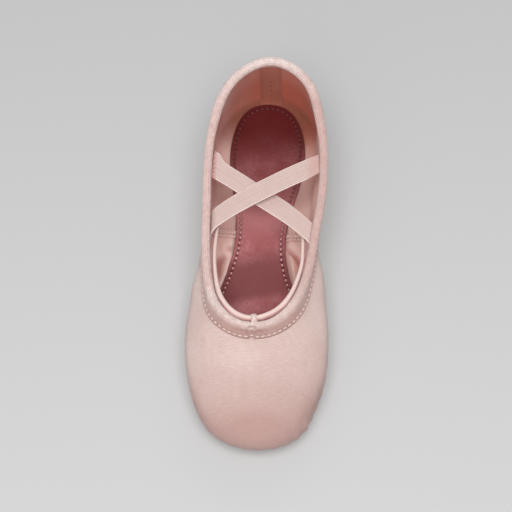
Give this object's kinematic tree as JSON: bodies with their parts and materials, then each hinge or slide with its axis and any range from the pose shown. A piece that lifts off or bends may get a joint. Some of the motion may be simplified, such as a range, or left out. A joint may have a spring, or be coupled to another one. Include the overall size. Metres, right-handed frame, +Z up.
{
  "type": "split-sole ballet slipper",
  "caption": "Soft canvas ballet slipper for the right foot, open at the collar, with crossed elastic straps, a drawcord and a split suede sole.",
  "frame": {"origin": "on the floor plane, under the middle of the shoe's length and width", "axes": "+Y towards the heel, +Z up, +X towards the medial side of the right foot; the toe points to -Y"},
  "size_m": [0.0816, 0.237, 0.0523],
  "materials": {
    "canvas": "fine matte cotton canvas, pale pink",
    "binding": "fine twill, folded and padded, pale pink",
    "insole_suede": "dusty rose suede",
    "sole_suede": "matte suede, worn smooth in the middle",
    "drawcord": "canvas-covered round elastic",
    "elastic": "ribbed woven elastic with a smooth edge"
  },
  "bodies": {
    "root": {"upper": "canvas", "collar_binding": "binding", "insole": "insole_suede", "forefoot_sole": "sole_suede", "heel_sole": "sole_suede", "drawcord": "drawcord", "drawcord_loop": "binding", "strap_over": "elastic", "strap_under": "elastic"}
  },
  "joints": []
}
